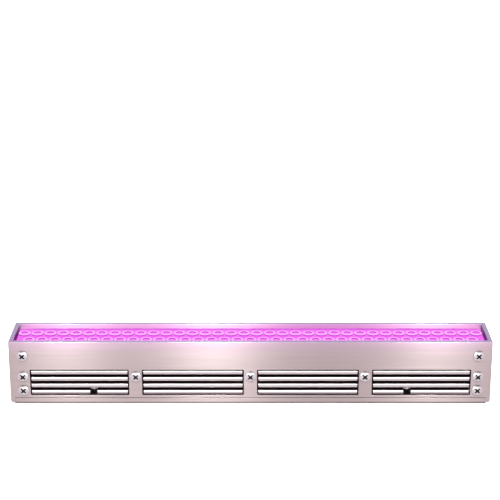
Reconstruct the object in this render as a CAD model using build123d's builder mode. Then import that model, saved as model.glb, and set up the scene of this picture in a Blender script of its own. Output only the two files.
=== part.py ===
"""LED grow light bar: an extruded heat sink in an aluminium case, lit face up, lying on its back.

Millimetres. X runs along the bar, the front panel faces -Y and the lenses face +Z.
The origin is the middle of the face that the bar rests on.
"""

import os
from build123d import *

os.makedirs("parts", exist_ok=True)

# Case
LENGTH = 457.0
WIDTH = 51.8
PANEL_THICKNESS = 4.7
END_THICKNESS = 4.1
BASE_THICKNESS = 5.75
SEAM = 0.5
TAB_BOTTOM = 1.5
TAB_BEVEL = 0.9
BASE_EDGE_RADIUS = 1.3
CORNER_RADIUS = 0.9
RIM_RADIUS = 0.45
CASE_FIT = 0.05

# Windows in the side panels
WINDOW_BELOW_FINS = 0.68
WINDOW_ABOVE_FINS = 1.62
CENTRE_PILLAR = 12.5
INNER_WINDOW = 96.75
SIDE_PILLAR = 12.35
END_MARGIN = 19.2
WINDOW_CORNER = 0.8

# Heat sink
FIN_COUNT = 4
FIN_PITCH = 6.7
FIN_THICKNESS = 3.65
FIN_TIP_RADIUS = 1.2
FIN_RECESS = 0.7
FIN_END_GAP = 1.45
FIN_ABOVE_BASE = 5.45
WEB_WIDTH = 8.0
SLAB_THICKNESS = 9.0
SIDE_CLEARANCE = 0.3

# Light engine, from the slab up
PAD_THICKNESS = 0.5
BOARD_THICKNESS = 1.6
BOARD_EAR_GAP = 2.45
BOARD_END_GAP = 1.0
GASKET_HEIGHT = 1.0
GASKET_WIDTH = 1.0
SKIRT_WALL = 1.0
LENS_PITCH = 12.43
ROW_OFFSET = 8.5
LENS_GAP = 1.0
LENS_CAP = 1.5
LENS_DIMPLE_RADIUS = 3.7
LENS_DIMPLE_DEPTH = 1.1
LENS_DIMPLE_SLOPE = 0.3
LENS_BEVEL = 0.4
LENS_BULGE = 0.35
LENS_LEDGE = 0.65
LENS_CONE_FOOT_RADIUS = 2.6
LENS_CONE_HEIGHT = 8.875
LENS_HOLE_GAP = 0.2
HOLDER_PLATE = 3.0
LENS_RECESS = 4.0
LED_SIZE = 3.45
LED_BODY = 0.9
LED_CORNER = 0.2
LED_DOME_RADIUS = 1.35
LED_AIR = 0.35
BLUE_EVERY = 3

# Fasteners: M5 pan heads on the sides, M4 flat heads elsewhere, M3 on the board
PAN_RADIUS = 2.5
PAN_HEAD_RADIUS = 5.1
PAN_HEAD_HEIGHT = 2.7
PAN_EDGE = 0.8
PAN_RECESS_LENGTH = 6.2
PAN_RECESS_WIDTH = 1.5
PAN_RECESS_DEPTH = 1.7
SHORT_GRIP = 8.0
LONG_GRIP = 12.0
FLAT_RADIUS = 2.0
FLAT_HEAD_RADIUS = 3.9
FLAT_RECESS_LENGTH = 4.4
FLAT_RECESS_WIDTH = 1.0
FLAT_RECESS_DEPTH = 1.4
BOARD_SCREW_RADIUS = 1.5
BOARD_HEAD_RADIUS = 2.75
BOARD_HEAD_HEIGHT = 1.8
BOARD_HEAD_EDGE = 0.7
BOARD_RECESS_LENGTH = 3.2
BOARD_RECESS_WIDTH = 0.8
BOARD_RECESS_DEPTH = 1.1
BOARD_SCREW_GRIP = 8.0
BOARD_SCREW_PITCH = 54.0
THREAD_GAP = 0.05
SHANK_GAP = 0.25

# Where the screws sit
END_SCREW_INSET = 12.8
PILLAR_SCREW_INSET = 5.7
LOW_SCREW_ABOVE_BASE = 8.15
TOP_SCREW_BELOW_RIM = 14.0
END_PLATE_SCREW_Y = 15.5
END_PLATE_SCREW_LOW = 21.0
END_PLATE_SCREW_HIGH = 38.0
END_PLATE_SCREW_LENGTH = 12.0
BASE_SCREW_INSET = 11.6
BASE_SCREW_Y = 15.5
BASE_SCREW_LENGTH = 10.0

# Nuts that hold the base plate to the lowest fins
NUT_X = 149.2
NUT_INSET = 7.2
NUT_ACROSS_FLATS = 7.0
NUT_HEIGHT = 2.9
NUT_SLOT_WIDTH = 7.2
NUT_SLOT_DEPTH = 3.0
SHANK_SLOT_WIDTH = 4.6

# End blocks
BLOCK_FLOOR = 5.5
BLOCK_HOLLOW = 20.0
BLOCK_GAP = 1.6
EAR_THICKNESS = 3.3
EAR_CLEARANCE = 0.4

# Hanging holes in the base plate, M6 tapped
HANGING_INSET = 45.0
HANGING_RADIUS = 2.5

# Power inlet
INLET_HEIGHT = 27.0
INLET_RADIUS = 7.0
INLET_BORE = 5.3
INLET_FLANGE_RADIUS = 9.0
INLET_FLANGE = 2.0
INLET_DEPTH = 11.0
INLET_NUT_RADIUS = 9.6
INLET_NUT = 1.8
INLET_NUT_NOTCH = 1.7
INLET_SEAL = 1.5
INLET_SEAL_WIDTH = 1.6
INSULATOR_DEPTH = 3.5
PIN_SPACING = 6.4
PIN_RADIUS = 0.8
PIN_REACH = 5.0
PIN_TAIL = 2.0
LEAD_RADIUS = 0.95
LEAD_BEND = 3.6
LEAD_RUN = 4.3
TERMINAL_SIZE = 4.6
TERMINAL_HEIGHT = 3.2
TERMINAL_BEVEL = 0.4

# Derived places
half_length = LENGTH / 2
front_face = -WIDTH / 2
panel_inner = WIDTH / 2 - PANEL_THICKNESS
end_inner = half_length - END_THICKNESS
panel_bottom = BASE_THICKNESS + SEAM
tab_width = END_THICKNESS - CASE_FIT
inner_edges = (CENTRE_PILLAR / 2, CENTRE_PILLAR / 2 + INNER_WINDOW)
outer_edges = (inner_edges[1] + SIDE_PILLAR, half_length - END_MARGIN)
sink_half = outer_edges[1] - FIN_END_GAP
sink_side = panel_inner - SIDE_CLEARANCE
fin_tip = WIDTH / 2 - FIN_RECESS
nut_y = fin_tip - NUT_INSET
lowest_fin = BASE_THICKNESS + FIN_ABOVE_BASE
lowest_fin_top = lowest_fin + FIN_THICKNESS / 2
highest_fin_top = lowest_fin_top + (FIN_COUNT - 1) * FIN_PITCH
window_bottom = lowest_fin - FIN_THICKNESS / 2 - WINDOW_BELOW_FINS
window_top = highest_fin_top + WINDOW_ABOVE_FINS
slab_bottom = highest_fin_top + FIN_PITCH - FIN_THICKNESS
slab_top = slab_bottom + SLAB_THICKNESS
board_bottom = slab_top + PAD_THICKNESS
board_top = board_bottom + BOARD_THICKNESS
skirt_bottom = board_top + GASKET_HEIGHT
lens_foot = board_top + LED_BODY + LED_AIR
holder_top = lens_foot + LENS_CONE_HEIGHT
holder_under = holder_top - HOLDER_PLATE
lens_top = holder_top + LENS_CAP
height = lens_top + LENS_RECESS
block_side = panel_inner - CASE_FIT
board_half = end_inner - BOARD_END_GAP
board_width = 2 * (block_side - EAR_THICKNESS - BOARD_EAR_GAP)
lens_radius = (LENS_PITCH - LENS_GAP) / 2
cone_top_radius = lens_radius - LENS_LEDGE
lens_span = 2 * (board_half - lens_radius)
back_count = int(lens_span / LENS_PITCH) + 1
front_count = back_count - 1
led_top = board_top + LED_BODY + LED_DOME_RADIUS
block_start = sink_half + BLOCK_GAP
block_length = end_inner - block_start
end_screw_x = half_length - END_SCREW_INSET
pillar_screw_x = inner_edges[1] + PILLAR_SCREW_INSET
base_screw_x = half_length - BASE_SCREW_INSET
hanging_x = half_length - HANGING_INSET
low_screw = BASE_THICKNESS + LOW_SCREW_ABOVE_BASE
middle_screw = highest_fin_top - (FIN_PITCH + FIN_THICKNESS) / 2
top_screw = height - TOP_SCREW_BELOW_RIM
board_screw_count = int(2 * sink_half / BOARD_SCREW_PITCH) + 1

# Side panel screws as (x, height, length)
side_screws = [(x, middle_screw, LONG_GRIP) for x in (-pillar_screw_x, 0, pillar_screw_x)]
for end in (-end_screw_x, end_screw_x):
    side_screws += [(end, low_screw, LONG_GRIP), (end, middle_screw, LONG_GRIP), (end, top_screw, SHORT_GRIP)]
end_plate_screws = [
    (y, z)
    for y in (-END_PLATE_SCREW_Y, END_PLATE_SCREW_Y)
    for z in (END_PLATE_SCREW_LOW, END_PLATE_SCREW_HIGH)
]
base_end_screws = [(x, y) for x in (-base_screw_x, base_screw_x) for y in (-BASE_SCREW_Y, BASE_SCREW_Y)]
nut_places = [(x, y) for x in (-NUT_X, NUT_X) for y in (-nut_y, nut_y)]
board_screw_x = [
    (i - (board_screw_count - 1) / 2) * BOARD_SCREW_PITCH for i in range(board_screw_count)
]
back_row = [((i - (back_count - 1) / 2) * LENS_PITCH, ROW_OFFSET) for i in range(back_count)]
front_row = [((i - (front_count - 1) / 2) * LENS_PITCH, -ROW_OFFSET) for i in range(front_count)]


# Fasteners, each made upright with the underside of its head, or its flat top, at height 0
def cross_recess(length, width, floor, top):
    """The cross-shaped driver recess, from its floor up to past the top of the head."""
    with BuildPart(mode=Mode.PRIVATE) as recess:
        with BuildSketch(Plane.XY.offset(floor)):
            Rectangle(length, width, rotation=45)
            Rectangle(length, width, rotation=-45)
            Circle(width)
        extrude(amount=top - floor)
    return recess.part


def pan_screw(radius, head_radius, head_height, edge, grip, recess_size):
    """A domed pan-head screw: a rim of the given edge height under a low spherical crown."""
    length, width, depth = recess_size
    recess = cross_recess(length, width, head_height - depth, head_height + 1)
    crown = head_height - edge
    crown_radius = (head_radius**2 + crown**2) / (2 * crown)
    half_way = head_height - crown_radius + (crown_radius**2 - head_radius**2 / 4) ** 0.5
    with BuildPart() as screw:
        with BuildSketch(Plane.XZ):
            with BuildLine():
                Polyline((0, head_height), (0, -grip), (radius, -grip), (radius, 0), (head_radius, 0),
                         (head_radius, edge))
                ThreePointArc((head_radius, edge), (head_radius / 2, half_way), (0, head_height))
            make_face()
        revolve(axis=Axis.Z)
        add(recess, mode=Mode.SUBTRACT)
    return screw.part


def flat_screw(length):
    """An M4 flat-head screw whose 90-degree head ends flush with height 0."""
    recess = cross_recess(FLAT_RECESS_LENGTH, FLAT_RECESS_WIDTH, -FLAT_RECESS_DEPTH, 1)
    cone = FLAT_HEAD_RADIUS - FLAT_RADIUS
    with BuildPart() as screw:
        with BuildSketch(Plane.XZ):
            with BuildLine():
                Polyline((0, 0), (0, -length), (FLAT_RADIUS, -length), (FLAT_RADIUS, -cone),
                         (FLAT_HEAD_RADIUS, 0), close=True)
            make_face()
        revolve(axis=Axis.Z)
        add(recess, mode=Mode.SUBTRACT)
    return screw.part


def side_screw_set(face_y, turn):
    """The pan-head screws of one side panel, with their heads outside face_y."""
    recess_size = (PAN_RECESS_LENGTH, PAN_RECESS_WIDTH, PAN_RECESS_DEPTH)
    made = {
        grip: pan_screw(PAN_RADIUS, PAN_HEAD_RADIUS, PAN_HEAD_HEIGHT, PAN_EDGE, grip, recess_size)
        for grip in (SHORT_GRIP, LONG_GRIP)
    }
    with BuildPart() as screws:
        for x, z, grip in side_screws:
            with Locations(Location((x, face_y, z), (turn, 0, 0))):
                add(made[grip])
    return screws


def end_screw_set(side):
    """The flat-head screws of one end plate; side is -1 on the left and 1 on the right."""
    screw = flat_screw(END_PLATE_SCREW_LENGTH)
    with BuildPart() as screws:
        with Locations(*[Location((side * half_length, y, z), (0, side * 90, 0)) for y, z in end_plate_screws]):
            add(screw)
    return screws


# Side panels: windows over the fins and a tab at each end that covers the end plate's edge
window_centres = [
    (side * (low + high) / 2, high - low) for side in (-1, 1) for low, high in (inner_edges, outer_edges)
]
with BuildPart() as front_panel:
    with BuildSketch(Plane.XZ.offset(panel_inner)):
        with Locations((0, (panel_bottom + height) / 2)):
            Rectangle(LENGTH, height - panel_bottom)
        with Locations(*[(side * (half_length - tab_width / 2), TAB_BOTTOM) for side in (-1, 1)]):
            Rectangle(tab_width, panel_bottom - TAB_BOTTOM + 1, align=(Align.CENTER, Align.MIN))
        for centre, width in window_centres:
            with Locations((centre, (window_bottom + window_top) / 2)):
                RectangleRounded(width, window_top - window_bottom, WINDOW_CORNER, mode=Mode.SUBTRACT)
        with Locations(*[(x, z) for x, z, grip in side_screws]):
            Circle(PAN_RADIUS + SHANK_GAP, mode=Mode.SUBTRACT)
    extrude(amount=PANEL_THICKNESS)
    upright = front_panel.edges().filter_by(Axis.Z)
    outer_corners = upright.filter_by(lambda e: abs(abs(e.center().X) - half_length) < 0.01)
    fillet(outer_corners.group_by(Axis.Y)[0], CORNER_RADIUS)
    tab_feet = front_panel.edges().filter_by(Axis.Y).filter_by(
        lambda e: abs(abs(e.center().X) - half_length) < 0.01 and e.center().Z < panel_bottom)
    chamfer(tab_feet, TAB_BEVEL)
    rim_edges = front_panel.edges().filter_by(Axis.X).group_by(Axis.Z)[-1]
    fillet(rim_edges, RIM_RADIUS)

with BuildPart() as rear_panel:
    add(front_panel.part.mirror(Plane.XZ))


# End plates, between the side panels
def end_plate(side):
    """One end plate with countersunk holes for its screws."""
    with BuildPart() as plate:
        with BuildSketch(Plane.YZ.offset(side * end_inner)):
            with Locations((0, (TAB_BOTTOM + height) / 2)):
                Rectangle(2 * (panel_inner - CASE_FIT), height - TAB_BOTTOM)
        extrude(amount=side * END_THICKNESS)
        rim_edges = plate.edges().filter_by(Axis.Y).group_by(Axis.Z)[-1]
        fillet(rim_edges, RIM_RADIUS)
        with Locations(*[Location((side * half_length, y, z), (0, side * 90, 0)) for y, z in end_plate_screws]):
            CounterSinkHole(FLAT_RADIUS + SHANK_GAP, FLAT_HEAD_RADIUS + THREAD_GAP)
    return plate


right_end_plate = end_plate(1)
left_blank = end_plate(-1)
with BuildPart() as left_end_plate:
    add(left_blank.part)
    with Locations(Location((-half_length, 0, INLET_HEIGHT), (0, -90, 0))):
        CounterBoreHole(INLET_RADIUS + CASE_FIT, INLET_NUT_RADIUS + SHANK_GAP, INLET_NUT + CASE_FIT)

# Base plate, under the side panels and between the end plates
with BuildPart() as base_plate:
    with BuildSketch():
        Rectangle(2 * (end_inner - CASE_FIT), WIDTH)
    extrude(amount=BASE_THICKNESS)
    long_edges = base_plate.edges().filter_by(Axis.X)
    fillet(long_edges.group_by(Axis.Z)[0], BASE_EDGE_RADIUS)
    with Locations(*[Location((x, y, 0), (180, 0, 0)) for x, y in base_end_screws + nut_places]):
        CounterSinkHole(FLAT_RADIUS + SHANK_GAP, FLAT_HEAD_RADIUS + THREAD_GAP)
    with Locations((-hanging_x, 0, BASE_THICKNESS), (hanging_x, 0, BASE_THICKNESS)):
        Hole(HANGING_RADIUS)

# Heat sink: a slab on a central web with fins to both sides
pillars = [(0, CENTRE_PILLAR)]
pillars += [(side * (inner_edges[1] + SIDE_PILLAR / 2), SIDE_PILLAR) for side in (-1, 1)]
with BuildPart() as heat_sink:
    with BuildSketch(Plane.YZ):
        with Locations((0, lowest_fin + (FIN_COUNT - 1) / 2 * FIN_PITCH)):
            with GridLocations(0, FIN_PITCH, 1, FIN_COUNT):
                RectangleRounded(2 * fin_tip, FIN_THICKNESS, FIN_TIP_RADIUS)
        with Locations((0, (BASE_THICKNESS + slab_bottom) / 2)):
            Rectangle(WEB_WIDTH, slab_bottom - BASE_THICKNESS)
        with Locations((0, (slab_bottom + slab_top) / 2)):
            Rectangle(2 * sink_side, SLAB_THICKNESS)
    extrude(amount=sink_half, both=True)
    with BuildSketch(Plane.XY.offset(panel_bottom)):
        for centre, width in pillars:
            relief = fin_tip - sink_side + 1
            for side in (-1, 1):
                with Locations((centre, side * (sink_side + relief / 2))):
                    Rectangle(width + 2 * FIN_END_GAP, relief)
    extrude(amount=slab_bottom - panel_bottom, mode=Mode.SUBTRACT)
    with BuildSketch(Plane.XY.offset(panel_bottom)):
        for x, y in nut_places:
            out = 1 if y > 0 else -1
            with Locations((x, out * (fin_tip - NUT_SLOT_DEPTH / 2))):
                Rectangle(NUT_SLOT_WIDTH, NUT_SLOT_DEPTH)
            with Locations((x, (y + out * fin_tip) / 2)):
                Rectangle(SHANK_SLOT_WIDTH, NUT_INSET)
            with Locations((x, y)):
                Circle(SHANK_SLOT_WIDTH / 2)
    extrude(amount=lowest_fin_top + THREAD_GAP - panel_bottom, mode=Mode.SUBTRACT)
    for side in (-1, 1):
        tip = WIDTH / 2 - LONG_GRIP - THREAD_GAP
        with BuildSketch(Plane.XZ.offset(side * tip)):
            with Locations(*[(x, middle_screw) for x in (-pillar_screw_x, 0, pillar_screw_x)]):
                Circle(PAN_RADIUS + THREAD_GAP)
        extrude(amount=side * LONG_GRIP, mode=Mode.SUBTRACT)
    with Locations(*[(x, 0, slab_top) for x in board_screw_x]):
        Hole(BOARD_SCREW_RADIUS + THREAD_GAP, BOARD_SCREW_GRIP)

# End blocks: U-shaped, joining base, sides and end plate, with ears that take the top screws
with BuildPart() as right_end_block:
    with BuildSketch(Plane.YZ.offset(block_start)):
        with Locations((0, BASE_THICKNESS)):
            Rectangle(
                2 * block_side, holder_under - EAR_CLEARANCE - BASE_THICKNESS, align=(Align.CENTER, Align.MIN)
            )
        with Locations((0, board_bottom)):
            Rectangle(
                2 * (block_side - EAR_THICKNESS), height, align=(Align.CENTER, Align.MIN), mode=Mode.SUBTRACT
            )
        with Locations((0, BASE_THICKNESS + BLOCK_FLOOR)):
            Rectangle(BLOCK_HOLLOW, height, align=(Align.CENTER, Align.MIN), mode=Mode.SUBTRACT)
    extrude(amount=block_length)
    for side in (-1, 1):
        for z, grip in ((low_screw, LONG_GRIP), (middle_screw, LONG_GRIP), (top_screw, SHORT_GRIP)):
            with BuildSketch(Plane.XZ.offset(side * (WIDTH / 2 - grip - THREAD_GAP))):
                with Locations((end_screw_x, z)):
                    Circle(PAN_RADIUS + THREAD_GAP)
            extrude(amount=side * grip, mode=Mode.SUBTRACT)
    with Locations(*[Location((end_inner, y, z), (0, 90, 0)) for y, z in end_plate_screws]):
        Hole(FLAT_RADIUS + THREAD_GAP, END_PLATE_SCREW_LENGTH - END_THICKNESS + THREAD_GAP)
    places = [Location((base_screw_x, y, BASE_THICKNESS), (180, 0, 0)) for y in (-BASE_SCREW_Y, BASE_SCREW_Y)]
    with Locations(*places):
        Hole(FLAT_RADIUS + THREAD_GAP, BASE_SCREW_LENGTH - BASE_THICKNESS + THREAD_GAP)

with BuildPart() as left_end_block:
    add(right_end_block.part.mirror(Plane.YZ))

# Thermal pad and LED board
lead_x = -(half_length - INLET_DEPTH - PIN_TAIL - LEAD_RUN)
lead_places = [(lead_x, side * PIN_SPACING / 2) for side in (-1, 1)]
with BuildPart() as thermal_pad:
    with BuildSketch(Plane.XY.offset(slab_top)):
        Rectangle(2 * sink_half, board_width)
        with Locations(*[(x, 0) for x in board_screw_x]):
            Circle(BOARD_SCREW_RADIUS + SHANK_GAP, mode=Mode.SUBTRACT)
    extrude(amount=PAD_THICKNESS)

with BuildPart() as led_board:
    with BuildSketch(Plane.XY.offset(board_bottom)):
        Rectangle(2 * board_half, board_width)
        with Locations(*[(x, 0) for x in board_screw_x]):
            Circle(BOARD_SCREW_RADIUS + SHANK_GAP, mode=Mode.SUBTRACT)
        with Locations(*lead_places):
            Circle(LEAD_RADIUS + SHANK_GAP, mode=Mode.SUBTRACT)
    extrude(amount=BOARD_THICKNESS)


def led_set(places):
    """LED packages with a silicone dome, at the given places on the board."""
    with BuildPart() as leds:
        with BuildSketch(Plane.XY.offset(board_top)):
            with Locations(*places):
                RectangleRounded(LED_SIZE, LED_SIZE, LED_CORNER)
        extrude(amount=LED_BODY)
        with Locations(*[(x, y, board_top + LED_BODY) for x, y in places]):
            Sphere(LED_DOME_RADIUS)
        with BuildSketch(Plane.XY.offset(board_top)):
            Rectangle(LENGTH, WIDTH)
        extrude(amount=-LED_DOME_RADIUS, mode=Mode.SUBTRACT)
    return leds


blue_places = back_row[1::BLUE_EVERY] + front_row[::BLUE_EVERY]
red_places = [place for place in back_row + front_row if place not in blue_places]
red_leds = led_set(red_places)
blue_leds = led_set(blue_places)

# Lenses: a flanged cap on a cone that gathers the light of one LED
cavity_radius = LED_DOME_RADIUS + LED_AIR
with BuildPart() as lens:
    with BuildSketch(Plane.XZ):
        with BuildLine():
            Polyline((0, led_top + LED_AIR), (cavity_radius, led_top + LED_AIR), (cavity_radius, lens_foot),
                     (LENS_CONE_FOOT_RADIUS, lens_foot))
            ThreePointArc(
                (LENS_CONE_FOOT_RADIUS, lens_foot),
                ((LENS_CONE_FOOT_RADIUS + cone_top_radius) / 2 + LENS_BULGE, (lens_foot + holder_top) / 2),
                (cone_top_radius, holder_top),
            )
            Polyline(
                (cone_top_radius, holder_top),
                (lens_radius, holder_top),
                (lens_radius, lens_top - LENS_BEVEL),
                (lens_radius - LENS_BEVEL, lens_top),
                (LENS_DIMPLE_RADIUS, lens_top),
                (LENS_DIMPLE_RADIUS - LENS_DIMPLE_SLOPE, lens_top - LENS_DIMPLE_DEPTH),
                (0, lens_top - LENS_DIMPLE_DEPTH),
                (0, led_top + LED_AIR),
            )
        make_face()
    revolve(axis=Axis.Z)


def lens_row(places):
    """One row of lenses."""
    with BuildPart() as row:
        with Locations(*places):
            add(lens.part)
    return row


back_row_lenses = lens_row(back_row)
front_row_lenses = lens_row(front_row)

# Lens holder: a plate with a skirt that stands on its gasket on the board
with BuildPart() as lens_holder:
    with BuildSketch(Plane.XY.offset(skirt_bottom)):
        Rectangle(2 * board_half, board_width)
        Rectangle(2 * (board_half - SKIRT_WALL), board_width - 2 * SKIRT_WALL, mode=Mode.SUBTRACT)
    extrude(amount=holder_under - skirt_bottom)
    with BuildSketch(Plane.XY.offset(holder_under)):
        Rectangle(2 * board_half, 2 * sink_side)
        with Locations(*back_row, *front_row):
            Circle(cone_top_radius + LENS_HOLE_GAP, mode=Mode.SUBTRACT)
    extrude(amount=HOLDER_PLATE)

with BuildPart() as holder_gasket:
    with BuildSketch(Plane.XY.offset(board_top)):
        Rectangle(2 * board_half, board_width)
        Rectangle(2 * (board_half - GASKET_WIDTH), board_width - 2 * GASKET_WIDTH, mode=Mode.SUBTRACT)
    extrude(amount=GASKET_HEIGHT)

# Screws and nuts
front_panel_screws = side_screw_set(front_face, 90)
rear_panel_screws = side_screw_set(-front_face, -90)
left_end_screws = end_screw_set(-1)
right_end_screws = end_screw_set(1)

base_end_screw = flat_screw(BASE_SCREW_LENGTH)
nut_screw = flat_screw(lowest_fin_top + NUT_HEIGHT)
with BuildPart() as base_screws:
    with Locations(*[Location((x, y, 0), (180, 0, 0)) for x, y in base_end_screws]):
        add(base_end_screw)
    with Locations(*[Location((x, y, 0), (180, 0, 0)) for x, y in nut_places]):
        add(nut_screw)

with BuildPart() as base_nuts:
    with BuildSketch(Plane.XY.offset(lowest_fin_top)):
        with Locations(*nut_places):
            RegularPolygon(NUT_ACROSS_FLATS / 2, 6, major_radius=False, rotation=30)
            Circle(FLAT_RADIUS + THREAD_GAP, mode=Mode.SUBTRACT)
    extrude(amount=NUT_HEIGHT)

board_recess = (BOARD_RECESS_LENGTH, BOARD_RECESS_WIDTH, BOARD_RECESS_DEPTH)
board_screw = pan_screw(
    BOARD_SCREW_RADIUS, BOARD_HEAD_RADIUS, BOARD_HEAD_HEIGHT, BOARD_HEAD_EDGE, BOARD_SCREW_GRIP, board_recess)
with BuildPart() as board_screws:
    with Locations(*[(x, 0, board_top) for x in board_screw_x]):
        add(board_screw)

# Power inlet in the left end plate: flush outside, its flange and seal inside
flange_x = -(end_inner - INLET_SEAL)
inlet_back = -(half_length - INLET_DEPTH)
insulator_face = inlet_back - INSULATOR_DEPTH
with BuildPart() as inlet_shell:
    with BuildSketch(Plane.YZ.offset(-half_length + CASE_FIT)):
        with Locations((0, INLET_HEIGHT)):
            Circle(INLET_RADIUS)
            Circle(INLET_BORE, mode=Mode.SUBTRACT)
    extrude(amount=INLET_DEPTH - CASE_FIT)
    with BuildSketch(Plane.YZ.offset(flange_x)):
        with Locations((0, INLET_HEIGHT)):
            Circle(INLET_FLANGE_RADIUS)
            Circle(INLET_BORE, mode=Mode.SUBTRACT)
    extrude(amount=INLET_FLANGE)

with BuildPart() as inlet_nut:
    with BuildSketch(Plane.YZ.offset(-half_length + CASE_FIT)):
        with Locations((0, INLET_HEIGHT)):
            Circle(INLET_NUT_RADIUS)
            Circle(INLET_RADIUS + THREAD_GAP, mode=Mode.SUBTRACT)
            with PolarLocations(INLET_NUT_RADIUS, 4):
                Rectangle(INLET_NUT_NOTCH, INLET_NUT_NOTCH, mode=Mode.SUBTRACT)
    extrude(amount=INLET_NUT)

with BuildPart() as inlet_seal:
    with BuildSketch(Plane.YZ.offset(-end_inner)):
        with Locations((0, INLET_HEIGHT)):
            Circle(INLET_RADIUS + THREAD_GAP + INLET_SEAL_WIDTH)
            Circle(INLET_RADIUS + THREAD_GAP, mode=Mode.SUBTRACT)
    extrude(amount=INLET_SEAL)

with BuildPart() as inlet_insulator:
    with BuildSketch(Plane.YZ.offset(insulator_face)):
        with Locations((0, INLET_HEIGHT)):
            Circle(INLET_BORE)
        with Locations((-PIN_SPACING / 2, INLET_HEIGHT), (PIN_SPACING / 2, INLET_HEIGHT)):
            Circle(PIN_RADIUS, mode=Mode.SUBTRACT)
    extrude(amount=INSULATOR_DEPTH)

with BuildPart() as inlet_pins:
    with BuildSketch(Plane.YZ.offset(insulator_face - PIN_REACH)):
        with Locations((-PIN_SPACING / 2, INLET_HEIGHT), (PIN_SPACING / 2, INLET_HEIGHT)):
            Circle(PIN_RADIUS)
    extrude(amount=PIN_REACH + INSULATOR_DEPTH + PIN_TAIL)


# Leads from the inlet's pins up through the board to the terminal
def lead(y):
    """One insulated lead: along from the pin, then straight up through the board."""
    start = (inlet_back + PIN_TAIL, y, INLET_HEIGHT)
    with BuildPart() as wire:
        with BuildLine() as route:
            FilletPolyline(start, (lead_x, y, INLET_HEIGHT), (lead_x, y, board_top), radius=LEAD_BEND)
        with BuildSketch(Plane(origin=start, z_dir=(1, 0, 0))):
            Circle(LEAD_RADIUS)
        sweep(path=route.line)
    return wire


positive_lead = lead(-PIN_SPACING / 2)
negative_lead = lead(PIN_SPACING / 2)

with BuildPart() as board_terminal:
    with BuildSketch(Plane.XY.offset(board_top)):
        with Locations((lead_x, 0)):
            RectangleRounded(TERMINAL_SIZE, PIN_SPACING + TERMINAL_SIZE / 2, TERMINAL_BEVEL)
    extrude(amount=TERMINAL_HEIGHT)
    chamfer(board_terminal.edges().group_by(Axis.Z)[-1], TERMINAL_BEVEL)

pieces = {
    "front_panel": front_panel,
    "rear_panel": rear_panel,
    "left_end_plate": left_end_plate,
    "right_end_plate": right_end_plate,
    "base_plate": base_plate,
    "heat_sink": heat_sink,
    "left_end_block": left_end_block,
    "right_end_block": right_end_block,
    "thermal_pad": thermal_pad,
    "led_board": led_board,
    "red_leds": red_leds,
    "blue_leds": blue_leds,
    "back_row_lenses": back_row_lenses,
    "front_row_lenses": front_row_lenses,
    "lens_holder": lens_holder,
    "holder_gasket": holder_gasket,
    "front_panel_screws": front_panel_screws,
    "rear_panel_screws": rear_panel_screws,
    "left_end_screws": left_end_screws,
    "right_end_screws": right_end_screws,
    "base_screws": base_screws,
    "base_nuts": base_nuts,
    "board_screws": board_screws,
    "inlet_shell": inlet_shell,
    "inlet_nut": inlet_nut,
    "inlet_seal": inlet_seal,
    "inlet_insulator": inlet_insulator,
    "inlet_pins": inlet_pins,
    "positive_lead": positive_lead,
    "negative_lead": negative_lead,
    "board_terminal": board_terminal,
}
for name, piece in pieces.items():
    piece.part.label = name
    export_step(piece.part, f"parts/{name}.step")
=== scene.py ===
"""Looks of an LED grow light bar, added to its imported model, which stays as it is.

Metres, in the model's own frame: X along the bar, -Y towards the front panel, +Z out of the lenses.
"""

import math

import bmesh
import bpy
from bpy.props import FloatProperty, FloatVectorProperty, PointerProperty
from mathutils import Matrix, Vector


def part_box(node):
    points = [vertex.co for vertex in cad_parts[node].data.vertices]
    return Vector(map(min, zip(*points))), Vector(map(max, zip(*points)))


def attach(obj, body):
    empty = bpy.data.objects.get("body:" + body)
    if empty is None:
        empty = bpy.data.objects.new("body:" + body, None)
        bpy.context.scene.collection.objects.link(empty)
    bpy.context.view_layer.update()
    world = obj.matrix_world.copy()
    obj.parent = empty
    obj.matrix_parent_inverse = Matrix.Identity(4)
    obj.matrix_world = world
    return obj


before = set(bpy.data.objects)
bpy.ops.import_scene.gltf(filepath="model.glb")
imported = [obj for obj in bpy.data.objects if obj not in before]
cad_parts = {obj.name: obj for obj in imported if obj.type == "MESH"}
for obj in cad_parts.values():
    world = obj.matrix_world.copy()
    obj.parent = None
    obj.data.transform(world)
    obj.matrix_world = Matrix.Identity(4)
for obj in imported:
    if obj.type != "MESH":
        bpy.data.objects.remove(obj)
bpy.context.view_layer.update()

bl_info = {
    "name": "LED grow light bar",
    "version": (1, 0, 0),
    "blender": (4, 5, 0),
    "location": "View3D > Sidebar > Grow light",
    "description": "Finishes, sealant and studio for an LED grow light bar",
    "category": "Object",
}

MM = 0.001

# The part of the noise texture's range that it mostly stays in
NOISE_RANGE = (0.3, 0.7)
# Depth of fine surface relief
RELIEF = 0.05 * MM
# How far the driver recess floor stands out of the panel on a pan head, and in from the face on a flat one
RECESS_FLOOR = 1.0 * MM
FLAT_RECESS_FLOOR = 1.35 * MM
# Heights, from the underside of the case, between which painted shade darkens its foot and its window ledges
FOOT_DARK = (1.0 * MM, 2.1 * MM)
LEDGE_DARK = (12 * MM, 14 * MM)
# Depths below the upper rim: the cut edge itself, painted with a reflection, and the reach of the lamp's
# painted glow
RIM_DEPTH = (0.35 * MM, 0.1 * MM)
GLOW_REACH = 22 * MM
GLOW_FALL = 2.6
GLOW_TINT = (1.19, 1.02, 1.28)
# Place times direction along the bar, between which the painted shade inside an end plate runs out
INNER_END = (-224.0 * MM, -220.0 * MM)
# Sealant beads: rings along each, points round each quarter, and how far each stops short of the holder
BEAD_RINGS = 220
BEAD_POINTS = 7
BEAD_END_GAP = 2 * MM
# Unevenness of a bead: share of its radius and waves along it, in radians, for a slow and a quick ripple
SLOW_SHARE, SLOW_WAVES = 0.10, 61.0
QUICK_SHARE, QUICK_WAVES, QUICK_START = 0.06, 173.0, 1.3
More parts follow.
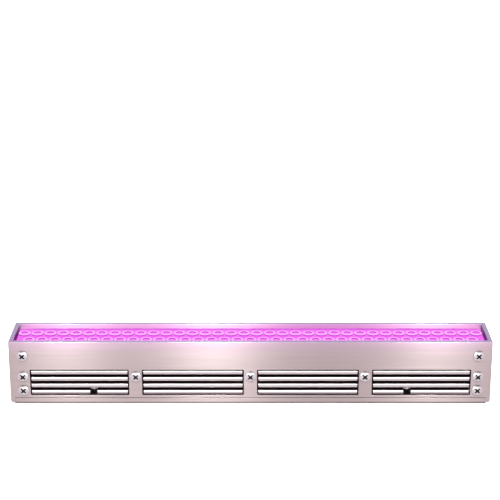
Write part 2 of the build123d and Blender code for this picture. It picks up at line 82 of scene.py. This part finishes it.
# Share of its radius that a bead has at its very end, and how steeply it fills out from there
BEAD_TIP = 0.35
BEAD_FILL = 12
# Studio: floor half width, camera lens and sensor in millimetres, camera place and tilt
FLOOR_HALF = 8.0
CAMERA_LENS = 109.1
CAMERA_SENSOR = 36.0
CAMERA_PLACE = (-0.0004, -1.3504, 0.6)
CAMERA_TILT = math.radians(71.41)
# Studio lights: name, place, aim, (width, height), power
SOFTBOXES = (
    ("overhead", (0, 0.2, 2.2), (0, 0, 0), (2.4, 2.0), 28),
    ("middle_strip", (-0.045, -0.276, 0.35), (-0.042, 0, 0.05), (0.06, 0.10), 1.20),
    ("left_strip", (-0.222, -0.276, 0.35), (-0.19, 0, 0.05), (0.01, 0.10), 0.82),
    ("right_strip", (0.222, -0.276, 0.35), (0.19, 0, 0.05), (0.02, 0.10), 0.88),
)
# The lamp's own spill: how far over the lenses it starts, (width, height) and power
SPILL_LIFT = 0.1 * MM
SPILL_SIZE = (0.428, 0.040)
SPILL_POWER = 0.004
# Strength of the studio's surroundings and of the backlit floor
WORLD_STRENGTH = 1.34
PAPER_GLOW = 0.45

case_low, case_high = (Vector(corner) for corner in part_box("front_panel"))
rear_low, rear_high = (Vector(corner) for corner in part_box("rear_panel"))
case_width = rear_high.y - case_low.y
sink_high = Vector(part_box("heat_sink")[1])
holder_low, holder_high = (Vector(corner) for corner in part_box("lens_holder"))
lens_high = Vector(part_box("back_row_lenses")[1])


def linear(hex_colour):
    """The linear RGB of an sRGB hex colour such as "C9B3BE"."""
    channels = [int(hex_colour[i:i + 2], 16) / 255 for i in (0, 2, 4)]
    return tuple(c / 12.92 if c <= 0.04045 else ((c + 0.055) / 1.055) ** 2.4 for c in channels)


def rgba(colour):
    """A colour with full alpha, as shader sockets take it; a hex colour is made linear first."""
    return (*(linear(colour) if isinstance(colour, str) else colour[:3]), 1.0)


# ---------------------------------------------------------------- settings
class CaseSettings(bpy.types.PropertyGroup):
    """Anodised case"""

    colour: FloatVectorProperty(
        name="Case colour", description="Tone of the anodised aluminium", subtype="COLOR",
        default=linear("D8CAC8"), min=0, max=1)
    rim_colour: FloatVectorProperty(
        name="Rim colour", description="Upper cut edges, tinted by the light beside them", subtype="COLOR",
        default=linear("897E97"), min=0, max=1)
    brushing: FloatProperty(
        name="Brushing", description="Spacing of the brushed lines across the panel", unit="LENGTH",
        default=0.9 * MM, min=0.1 * MM, max=5 * MM)


class HeatSinkSettings(bpy.types.PropertyGroup):
    """Heat sink"""

    tip_colour: FloatVectorProperty(
        name="Fin edge colour", description="Outer edge of a fin", subtype="COLOR",
        default=linear("EFE9E8"), min=0, max=1)
    slot_shade_colour: FloatVectorProperty(
        name="Slot shade colour", description="Painted shade in the slots between the fin edges", subtype="COLOR",
        default=linear("2C231F"), min=0, max=1)
    bright_depth: FloatProperty(
        name="Bright depth", description="How far in from its edge a fin is bright", unit="LENGTH",
        default=1.3 * MM, min=0, max=5 * MM)


class LightSettings(bpy.types.PropertyGroup):
    """Lit face"""

    glow: FloatVectorProperty(
        name="Glow colour", description="Mixed red and blue light in the lenses", subtype="COLOR",
        default=linear("FF7CFA"), min=0, max=1)
    centre: FloatVectorProperty(
        name="Lens centre colour", description="The deeper tone in the middle of each lens", subtype="COLOR",
        default=linear("BC48C2"), min=0, max=1)
    strength: FloatProperty(
        name="Glow strength", description="How strongly the lit face shines", default=1.0, min=0, max=10)


class BeadSettings(bpy.types.PropertyGroup):
    """Sealant"""

    radius: FloatProperty(
        name="Bead radius", description="Radius of the silicone bead beside the lens holder", unit="LENGTH",
        default=0.8 * MM, min=0.2 * MM, max=2 * MM)


# ---------------------------------------------------------------- material tools
def set_inputs(tree, node, inputs):
    """Sets a node's inputs; a value that is another node's socket is linked."""
    for key, value in inputs.items():
        if isinstance(value, bpy.types.NodeSocket):
            tree.links.new(value, node.inputs[key])
        else:
            node.inputs[key].default_value = value


def add_node(tree, kind, settings=None, inputs=None):
    """Adds a node with its settings and inputs."""
    node = tree.nodes.new(kind)
    for name, value in (settings or {}).items():
        setattr(node, name, value)
    set_inputs(tree, node, inputs or {})
    return node


def new_material(name):
    """An empty node material with its Principled shader and output already joined."""
    material = bpy.data.materials.new(name)
    material.use_nodes = True
    tree = material.node_tree
    tree.nodes.clear()
    shader = add_node(tree, "ShaderNodeBsdfPrincipled")
    add_node(tree, "ShaderNodeOutputMaterial", inputs={"Surface": shader.outputs["BSDF"]})
    return material, tree, shader


def axes_of(tree, output):
    """X, Y and Z of a texture coordinate: "Object" for the place, "Normal" for the direction faced."""
    place = add_node(tree, "ShaderNodeTexCoord")
    return add_node(tree, "ShaderNodeSeparateXYZ", inputs={"Vector": place.outputs[output]}).outputs


def grain(tree, spacing, stretch=(1.0, 1.0, 1.0), detail=3.0):
    """Noise in the object's own space, one cell per spacing, drawn out by stretch; returns its factor."""
    place = add_node(tree, "ShaderNodeTexCoord")
    scale = tuple(1 / (spacing * s) for s in stretch)
    mapping = add_node(tree, "ShaderNodeMapping", inputs={"Vector": place.outputs["Object"], "Scale": scale})
    noise = add_node(tree, "ShaderNodeTexNoise", inputs={
        "Vector": mapping.outputs["Vector"], "Scale": 1.0, "Detail": detail, "Roughness": 0.55})
    return noise.outputs["Fac"]


def remap(tree, value, to_low, to_high, from_low=NOISE_RANGE[0], from_high=NOISE_RANGE[1]):
    """value, from its usual range, to another range, held at the ends."""
    node = add_node(tree, "ShaderNodeMapRange", {"clamp": True}, {
        "Value": value, "From Min": from_low, "From Max": from_high, "To Min": to_low, "To Max": to_high})
    return node.outputs["Result"]


def blend(tree, factor, first, second):
    """A colour between first and second."""
    return add_node(tree, "ShaderNodeMix", {"data_type": "RGBA"}, {0: factor, 6: first, 7: second}).outputs[2]


def two_tone(tree, noise, first, second):
    """A colour that wanders between first and second with a noise."""
    return blend(tree, remap(tree, noise, 0.0, 1.0), rgba(first), rgba(second))


def calculate(tree, operation, first, second=0.0):
    """One step of arithmetic."""
    return add_node(tree, "ShaderNodeMath", {"operation": operation}, {0: first, 1: second}).outputs["Value"]


def relief(tree, height, strength, distance=RELIEF, normal=None):
    """A bumped surface direction from a noise, over normal if there is one."""
    inputs = {"Height": height, "Strength": strength, "Distance": distance}
    if normal is not None:
        inputs["Normal"] = normal
    return add_node(tree, "ShaderNodeBump", inputs=inputs).outputs["Normal"]


def soft_edges(tree, radius):
    """The surface direction as if edges were rounded to radius, and a mask that is 1 on such edges."""
    bevel = add_node(tree, "ShaderNodeBevel", {"samples": 4}, {"Radius": radius})
    flat = add_node(tree, "ShaderNodeNewGeometry")
    match = add_node(tree, "ShaderNodeVectorMath", {"operation": "DOT_PRODUCT"}, {
        0: bevel.outputs["Normal"], 1: flat.outputs["Normal"]})
    return bevel.outputs["Normal"], remap(tree, match.outputs["Value"], 1.0, 0.0, 0.86, 0.995)


def shade(*pieces, material):
    """Gives CAD nodes or new pieces one material in every slot."""
    for piece in pieces:
        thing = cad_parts[piece] if isinstance(piece, str) else piece
        thing.data.materials.clear()
        thing.data.materials.append(material)


# ---------------------------------------------------------------- materials
def brushed_anodised_aluminium(settings):
    """Aluminium sheet, brushed along the bar and satin anodised.

    The eye gets fine level lines and upright bands of glare. Painted into its colour are a lilac glow
    fading down from the lit rim, a reflection on the upper cut edges, a highlight on the rounded edges,
    and shade as dark lines under the windows, at the foot and on the inner ends.
    """
    material, tree, shader = new_material("brushed_anodised_aluminium")
    lines = grain(tree, settings.brushing, (120.0, 1.0, 1.0), 4.0)
    clouds = grain(tree, 55 * MM, (1.4, 1.0, 1.0), 2.0)
    normal, edge = soft_edges(tree, 0.35 * MM)
    tone = Vector(settings.colour)
    brushed = two_tone(tree, lines, tone * 0.93, tone)
    clouded = blend(tree, remap(tree, clouds, 0.0, 0.35), brushed, rgba(tone * 0.90))
    # Painted highlight: the rounded edges are lightened toward a pale pink
    highlit_edges = blend(tree, calculate(tree, "MULTIPLY", edge, 0.35), clouded, rgba("F3E9F0"))

    place = axes_of(tree, "Object")
    facing = axes_of(tree, "Normal")
    up = place["Z"]
    # Painted light: the upper part of the panel is tinted lilac toward the rim, standing in for the lamp's
    # glow
    near_rim = remap(tree, up, 0.0, 1.0, case_high.z - GLOW_REACH, case_high.z)
    tint = rgba([channel * gain for channel, gain in zip(tone, GLOW_TINT)])
    painted_glow = blend(tree, calculate(tree, "POWER", near_rim, GLOW_FALL), highlit_edges, tint)
    # Painted reflection: the upper cut edges take the rim colour, as the light beside them would tint them
    rim = remap(tree, up, 0.0, 1.0, case_high.z - RIM_DEPTH[0], case_high.z - RIM_DEPTH[1])
    rimmed = blend(tree, rim, painted_glow, rgba(settings.rim_colour))
    # Painted shade: upward faces low down, the ledges of the windows, go dark
    ledge = calculate(tree, "MULTIPLY", remap(tree, facing["Z"], 0.0, 1.0, 0.6, 0.9),
                      remap(tree, up, 1.0, 0.0, *LEDGE_DARK))
    # Painted shade: the foot goes dark, and with it the whole underside of the case
    foot = remap(tree, up, 0.85, 0.0, *FOOT_DARK)
    shaded = blend(tree, calculate(tree, "MAXIMUM", ledge, foot), rimmed, rgba("2B2322"))
    # Painted shade: place times direction along the bar is most negative on the inside of an end plate, which
    # goes dark lilac
    inward = calculate(tree, "MULTIPLY", place["X"], facing["X"])
    inner_end = remap(tree, inward, 1.0, 0.0, *INNER_END)
    finish = blend(tree, inner_end, shaded, rgba("5E4C62"))

    across = add_node(tree, "ShaderNodeTangent", {"direction_type": "RADIAL", "axis": "X"})
    set_inputs(tree, shader, {
        "Base Color": finish, "Metallic": 1.0, "Roughness": remap(tree, lines, 0.33, 0.38),
        "Anisotropic": 0.95, "Tangent": across.outputs["Tangent"],
        "Normal": relief(tree, lines, 0.10, normal=normal)})
    return material


def heat_sink_painted_slot_shade(settings):
    """Extruded aluminium heat sink, painted near-black as shade deeper in than its bright fin edges.

    The eye gets bright level bars with near-black painted shade in the slots between them.
    """
    material, tree, shader = new_material("heat_sink_painted_slot_shade")
    # Painted shade: more than a set depth in from the fin edges, the heat sink goes near-black as shade in
    # the slots
    out = calculate(tree, "ABSOLUTE", axes_of(tree, "Object")["Y"])
    limit = sink_high.y - settings.bright_depth
    fin_edge_mask = remap(tree, out, 0.0, 1.0, limit, limit + 0.3 * MM)
    lines = grain(tree, 0.7 * MM, (60.0, 1.0, 1.0), 3.0)
    edge_tone = two_tone(tree, lines, Vector(settings.tip_colour) * 0.98, settings.tip_colour)
    set_inputs(tree, shader, {
        "Base Color": blend(tree, fin_edge_mask, rgba(settings.slot_shade_colour), edge_tone),
        "Metallic": remap(tree, fin_edge_mask, 0.35, 1.0, 0.0, 1.0),
        "Roughness": remap(tree, fin_edge_mask, 0.55, 0.46, 0.0, 1.0),
        "Normal": relief(tree, lines, 0.012)})
    return material


def machined_aluminium():
    """End blocks cut from solid aluminium: the eye gets dark metal with fine cutter marks across it."""
    material, tree, shader = new_material("machined_aluminium")
    marks = grain(tree, 0.6 * MM, (1.0, 20.0, 1.0), 2.0)
    set_inputs(tree, shader, {
        "Base Color": two_tone(tree, marks, "2A2625", "3A3534"), "Metallic": 0.6, "Roughness": 0.5})
    return material


def stainless_steel(name, axis, face, floor):
    """Cold-headed stainless screws, with painted shade in the driver recess and round the rim.

    The eye gets a bright head with a dark cross of painted shade and, on a pan head, a thin dark brow of
    painted shade; the heads are painted lighter where they face down. The heads point along axis, out of the
    face at that distance from the middle, and floor is how far the recess floor stands out of that face.
    """
    material, tree, shader = new_material(name)
    speckle = grain(tree, 0.8 * MM, detail=3.0)
    facing = axes_of(tree, "Normal")
    outward = calculate(tree, "ABSOLUTE", facing[axis])
    distance = calculate(tree, "ABSOLUTE", axes_of(tree, "Object")[axis])
    raised = calculate(tree, "SUBTRACT", distance, face)
    # Painted shade: the head's side wall, and the walls and floor of the driver recess, go near-black
    side_wall = remap(tree, outward, 0.0, 1.0, 0.25, 0.40)
    not_level = remap(tree, outward, 1.0, 0.0, 0.990, 0.998)
    above_floor = remap(tree, raised, 0.0, 1.0, floor, floor + 0.15 * MM)
    clear = calculate(tree, "MULTIPLY", side_wall, calculate(tree, "MAXIMUM", not_level, above_floor))
    # Painted shade: a dark outline round the foot of a pan head, and a dark brow over it
    if axis == "Y":
        outline = remap(tree, outward, 0.12, 1.0, 0.765, 0.80)
        brow = remap(tree, facing["Z"], 1.0, 0.1, 0.40, 0.54)
        clear = calculate(tree, "MULTIPLY", clear, calculate(tree, "MULTIPLY", outline, brow))
    # Painted shade: the heads are darker where they face up, whiter where they face down
    painted_top_shade = blend(tree, remap(tree, facing["Z"], 0.0, 1.0, -0.3, 0.35), rgba("FFFFFF"), rgba("EDE7EA"))
    bright = blend(tree, remap(tree, speckle, 0.0, 0.2), painted_top_shade, rgba("EDE7EA"))
    set_inputs(tree, shader, {
        "Base Color": blend(tree, clear, rgba("0E0B0C"), bright),
        "Metallic": remap(tree, clear, 0.2, 1.0, 0.0, 1.0), "Roughness": 0.48,
        "Normal": relief(tree, speckle, 0.06)})
    return material


def lit(name, unlit, roughness, ior):
    """A plastic that carries the lamp's light, over its unlit colour; its glow is set by the caller."""
    material, tree, shader = new_material(name)
    set_inputs(tree, shader, {
        "Base Color": rgba(unlit), "Roughness": roughness, "IOR": ior, "Specular IOR Level": 0.1})
    return material, tree, shader


def lit_acrylic_lens(settings):
    """Moulded acrylic lenses with the light on: a bright ring round a deeper centre, the deeper tone painted
    as shade on steep walls.
    """
    material, tree, shader = lit("lit_acrylic_lens", "2E0E32", 0.35, 1.49)
    ring = remap(tree, axes_of(tree, "Object")["Z"], 0.0, 1.0, lens_high.z - 0.6 * MM, lens_high.z - 0.3 * MM)
    # Painted shade: steep faces of a lens glow in the deeper centre colour
    level = remap(tree, axes_of(tree, "Normal")["Z"], 0.0, 1.0, 0.3, 0.7)
    rim = two_tone(tree, grain(tree, 2.2 * MM, detail=2.0), "FFA2FF", "FFC2FF")
    top = blend(tree, ring, rgba(settings.glow), rim)
    set_inputs(tree, shader, {
        "Emission Color": blend(tree, level, rgba(settings.centre), top),
        "Emission Strength": settings.strength})
    return material


def lit_white_holder(settings):
    """White moulded polycarbonate: the eye gets an even magenta, faintly mottled, between the lenses."""
    material, tree, shader = lit("lit_white_holder", "3A143C", 0.5, 1.58)
    texture = grain(tree, 1.2 * MM, detail=3.0)
    set_inputs(tree, shader, {
        "Emission Color": two_tone(tree, texture, "E05CE2", "F06EF0"), "Emission Strength": settings.strength,
        "Normal": relief(tree, texture, 0.15, 0.1 * MM)})
    return material


def lit_sealant(settings):
    """Clear silicone carrying the glow, its deeper magenta painted shade at the wall's foot: the eye gets a
    deeper, uneven magenta line along the wall.
    """
    material, tree, shader = lit("lit_silicone_sealant_painted_shade", "3A143C", 0.4, 1.41)
    ripple = grain(tree, 4.0 * MM, detail=2.0)
    # Painted shade: the bead glows in the deeper lens colour, standing in for shade at the foot of the wall
    set_inputs(tree, shader, {
        "Emission Color": two_tone(tree, ripple, settings.centre, "D264D4"),
        "Emission Strength": settings.strength})
    return material


def moulded(name, hex_low, hex_high, roughness, spacing, ior=1.5, metallic=0.0, bump=0.1):
    """A mottled surface for moulded, rubbery or plated small parts: the eye gets two close tones."""
    material, tree, shader = new_material(name)
    mottle = grain(tree, spacing, detail=3.0)
    set_inputs(tree, shader, {
        "Base Color": two_tone(tree, mottle, hex_low, hex_high), "Metallic": metallic, "Roughness": roughness,
        "IOR": ior, "Normal": relief(tree, mottle, bump)})
    return material


# ---------------------------------------------------------------- operators
class GROWBAR_OT_case(bpy.types.Operator):
    """Finish the case panels, end plates and base plate"""

    bl_idname = "growbar.case"
    bl_label = "Case"

    def execute(self, context):
        case = brushed_anodised_aluminium(context.scene.growbar_case)
        shade("front_panel", "rear_panel", "left_end_plate", "right_end_plate", "base_plate", material=case)
        return {"FINISHED"}


class GROWBAR_OT_heat_sink(bpy.types.Operator):
    """Finish the heat sink and the end blocks"""

    bl_idname = "growbar.heat_sink"
    bl_label = "Heat sink"

    def execute(self, context):
        shade("heat_sink", material=heat_sink_painted_slot_shade(context.scene.growbar_heat_sink))
        shade("left_end_block", "right_end_block", material=machined_aluminium())
        return {"FINISHED"}


class GROWBAR_OT_fasteners(bpy.types.Operator):
    """Finish the screws and nuts"""

    bl_idname = "growbar.fasteners"
    bl_label = "Fasteners"

    def execute(self, context):
        sides = stainless_steel("stainless_side_screws", "Y", case_width / 2, RECESS_FLOOR)
        shade("front_panel_screws", "rear_panel_screws", material=sides)
        ends = stainless_steel("stainless_end_screws", "X", case_high.x, -FLAT_RECESS_FLOOR)
        shade("left_end_screws", "right_end_screws", material=ends)
        base = stainless_steel("stainless_base_screws", "Z", 0.0, FLAT_RECESS_FLOOR)
        shade("base_screws", "board_screws", material=base)
        # Zinc-plated nuts, duller and greyer than the screws
        zinc = moulded("zinc_plated_nut", "A6A3A4", "BCB9BA", 0.6, 1.0 * MM, metallic=0.1)
        shade("base_nuts", material=zinc)
        return {"FINISHED"}


class GROWBAR_OT_lit_face(bpy.types.Operator):
    """Finish the lenses and their holder with the light on"""

    bl_idname = "growbar.lit_face"
    bl_label = "Lit face"

    def execute(self, context):
        settings = context.scene.growbar_light
        shade("back_row_lenses", "front_row_lenses", material=lit_acrylic_lens(settings))
        shade("lens_holder", material=lit_white_holder(settings))
        return {"FINISHED"}


class GROWBAR_OT_inner_parts(bpy.types.Operator):
    """Finish the board, LEDs, pad, gasket, leads and terminal inside the case"""

    bl_idname = "growbar.inner_parts"
    bl_label = "Inner parts"

    def execute(self, context):
        # White solder mask over an aluminium core
        shade("led_board", material=moulded("white_solder_mask", "E6E6E2", "F4F4F0", 0.45, 2.0 * MM))
        # LED packages: coloured resin under a clear dome
        shade("red_leds", material=moulded("red_led_resin", "C80F26", "F02A40", 0.18, 0.8 * MM, 1.41))
        shade("blue_leds", material=moulded("blue_led_resin", "1A1FC8", "3A46F0", 0.18, 0.8 * MM, 1.41))
        # Filled silicone pad, dull and slightly grainy
        pad = moulded("silicone_thermal_pad", "7E8A96", "929EA8", 0.8, 0.7 * MM, 1.41)
        shade("thermal_pad", material=pad)
        # Silicones: a translucent gasket, and the red and black insulation of the leads
        for node, name, hex_low, hex_high in (
                ("holder_gasket", "silicone_gasket", "DCDCDC", "EDEDED"),
                ("positive_lead", "red_silicone_lead", "A51511", "C22019"),
                ("negative_lead", "black_silicone_lead", "121212", "222222")):
            shade(node, material=moulded(name, hex_low, hex_high, 0.5, 1.5 * MM, 1.41))
        # Off-white nylon, satin from the mould
        shade("board_terminal", material=moulded("white_nylon", "E4E2DC", "F2F0EA", 0.45, 1.0 * MM, 1.53))
        return {"FINISHED"}


class GROWBAR_OT_inlet(bpy.types.Operator):
    """Finish the power inlet"""

    bl_idname = "growbar.inlet"
    bl_label = "Power inlet"

    def execute(self, context):
        # Nickel plate over brass, satin from barrel tumbling
        nickel = moulded("nickel_plate", "A8A29B", "C4BEB6", 0.28, 0.9 * MM, metallic=1.0, bump=0.05)
        shade("inlet_shell", "inlet_nut", material=nickel)
        # Gold plate, smooth and warm
        gold = moulded("gold_plated_pin", "D9A441", "EBC063", 0.22, 0.5 * MM, metallic=1.0)
        shade("inlet_pins", material=gold)
        # Black nylon with a slight sheen, and duller black rubber
        shade("inlet_insulator", material=moulded("black_nylon", "131313", "202020", 0.42, 0.8 * MM, 1.53))
        shade("inlet_seal", material=moulded("nitrile_rubber", "101010", "1C1C1C", 0.65, 0.6 * MM, 1.52))
        return {"FINISHED"}


def bead(name, start, end, side, radius):
    """A hand-laid silicone bead from start to end, a quarter round against a wall on the given side."""
    shape = bmesh.new()
    rings = []
    for i in range(BEAD_RINGS + 1):
        along = i / BEAD_RINGS
        centre = start.lerp(end, along)
        slow = SLOW_SHARE * math.sin(along * SLOW_WAVES)
        quick = QUICK_SHARE * math.sin(along * QUICK_WAVES + QUICK_START)
        taper = min(1.0, BEAD_FILL * min(along, 1 - along) + BEAD_TIP)
        reach = radius * (1 + slow + quick) * taper
        ring = [shape.verts.new(centre)]
        for k in range(BEAD_POINTS):
            turn = math.radians(90 * k / (BEAD_POINTS - 1))
            out = Vector((0, -side * math.cos(turn), math.sin(turn)))
            ring.append(shape.verts.new(centre + out * reach))
        rings.append(ring)
    for first, second in zip(rings, rings[1:]):
        for k in range(len(first)):
            after = (k + 1) % len(first)
            shape.faces.new((first[k], first[after], second[after], second[k]))
    shape.faces.new(rings[0])
    shape.faces.new(list(reversed(rings[-1])))
    bmesh.ops.recalc_face_normals(shape, faces=shape.faces)
    mesh = bpy.data.meshes.new(name)
    shape.to_mesh(mesh)
    shape.free()
    for face in mesh.polygons:
        face.use_smooth = len(face.vertices) == 4
    piece = bpy.data.objects.new(name, mesh)
    bpy.context.scene.collection.objects.link(piece)
    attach(piece, "root")
    return piece


class GROWBAR_OT_sealant(bpy.types.Operator):
    """Lay a silicone bead along both long sides of the lens holder"""

    bl_idname = "growbar.sealant"
    bl_label = "Sealant"

    def execute(self, context):
        radius = context.scene.growbar_beads.radius
        silicone = lit_sealant(context.scene.growbar_light)
        for name, wall, side in (("rear_sealant", rear_low.y, 1), ("front_sealant", case_high.y, -1)):
            start = Vector((holder_low.x + BEAD_END_GAP, wall, holder_high.z))
            end = Vector((holder_high.x - BEAD_END_GAP, wall, holder_high.z))
            shade(bead(name, start, end, side, radius), material=silicone)
        return {"FINISHED"}


# ---------------------------------------------------------------- stage
def softbox(name, place, aim, size, power, tint="FFFFFF"):
    """A rectangular studio light at place, facing aim; size is (width, height)."""
    light = bpy.data.lights.new(name, "AREA")
    light.shape = "RECTANGLE"
    light.size, light.size_y = size
    light.energy = power
    light.color = linear(tint)
    lamp = bpy.data.objects.new(name, light)
    lamp.location = place
    lamp.rotation_euler = (Vector(aim) - Vector(place)).to_track_quat("-Z", "Y").to_euler()
    lamp.visible_camera = False
    bpy.context.scene.collection.objects.link(lamp)


class GROWBAR_OT_stage(bpy.types.Operator):
    """Set up the pale floor, the soft lights and the camera"""

    bl_idname = "growbar.stage"
    bl_label = "Stage"

    def execute(self, context):
        scene = context.scene
        scene.view_settings.view_transform = "Standard"
        scene.view_settings.look = "None"
        world = bpy.data.worlds.new("studio")
        world.use_nodes = True
        sky = world.node_tree
        height = remap(sky, axes_of(sky, "Generated")["Z"], 0.0, 1.0, 0.25, 0.75)
        colour = blend(sky, height, rgba("B9AFB6"), rgba("FFFFFF"))
        set_inputs(sky, sky.nodes["Background"], {"Color": colour, "Strength": WORLD_STRENGTH})
        scene.world = world

        mesh = bpy.data.meshes.new("floor")
        outline = [(x * FLOOR_HALF, y * FLOOR_HALF, 0) for x, y in ((-1, -1), (1, -1), (1, 1), (-1, 1))]
        mesh.from_pydata(outline, [], [(0, 1, 2, 3)])
        floor = bpy.data.objects.new("floor", mesh)
        scene.collection.objects.link(floor)
        # Backlit paper: the eye gets plain white, which the case doesn't mirror
        material, tree, shader = new_material("pale_paper")
        set_inputs(tree, shader, {
            "Base Color": rgba("F8F6F7"), "Roughness": 0.9,
            "Emission Color": rgba("FFFFFF"), "Emission Strength": PAPER_GLOW})
        floor.data.materials.append(material)
        floor.visible_glossy = False

        for settings in SOFTBOXES:
            softbox(*settings)
        # The lamp's own light, spilling onto the inner walls above the lenses
        softbox("lamp_spill", (0, 0, lens_high.z + SPILL_LIFT), (0, 0, 1), SPILL_SIZE, SPILL_POWER, "FFE8FF")

        camera = bpy.data.cameras.new("camera")
        camera.lens = CAMERA_LENS
        camera.sensor_width = CAMERA_SENSOR
        camera.clip_start = 0.01
        eye = bpy.data.objects.new("camera", camera)
        eye.location = CAMERA_PLACE
        eye.rotation_euler = (CAMERA_TILT, 0, 0)
        scene.collection.objects.link(eye)
        scene.camera = eye
        return {"FINISHED"}


class GROWBAR_PT_panel(bpy.types.Panel):
    """Settings and steps of the grow light bar"""

    bl_idname = "GROWBAR_PT_panel"
    bl_label = "Grow light bar"
    bl_space_type = "VIEW_3D"
    bl_region_type = "UI"
    bl_category = "Grow light"

    def draw(self, context):
        for name, group in SETTINGS.items():
            for setting in group.__annotations__:
                self.layout.prop(getattr(context.scene, name), setting)
        for step in STEPS:
            self.layout.operator(step.bl_idname)


SETTINGS = {
    "growbar_case": CaseSettings,
    "growbar_heat_sink": HeatSinkSettings,
    "growbar_light": LightSettings,
    "growbar_beads": BeadSettings,
}
STEPS = (
    GROWBAR_OT_stage,
    GROWBAR_OT_case,
    GROWBAR_OT_heat_sink,
    GROWBAR_OT_fasteners,
    GROWBAR_OT_lit_face,
    GROWBAR_OT_inner_parts,
    GROWBAR_OT_inlet,
    GROWBAR_OT_sealant,
)


def register():
    for name, group in SETTINGS.items():
        bpy.utils.register_class(group)
        setattr(bpy.types.Scene, name, PointerProperty(type=group))
    for step in (*STEPS, GROWBAR_PT_panel):
        bpy.utils.register_class(step)


def unregister():
    for step in (GROWBAR_PT_panel, *reversed(STEPS)):
        bpy.utils.unregister_class(step)
    for name, group in SETTINGS.items():
        delattr(bpy.types.Scene, name)
        bpy.utils.unregister_class(group)


def main():
    """Builds the whole scene, in order."""
    register()
    bpy.ops.growbar.stage()
    bpy.ops.growbar.case()
    bpy.ops.growbar.heat_sink()
    bpy.ops.growbar.fasteners()
    bpy.ops.growbar.lit_face()
    bpy.ops.growbar.inner_parts()
    bpy.ops.growbar.inlet()
    bpy.ops.growbar.sealant()


if __name__ == "__main__":
    main()
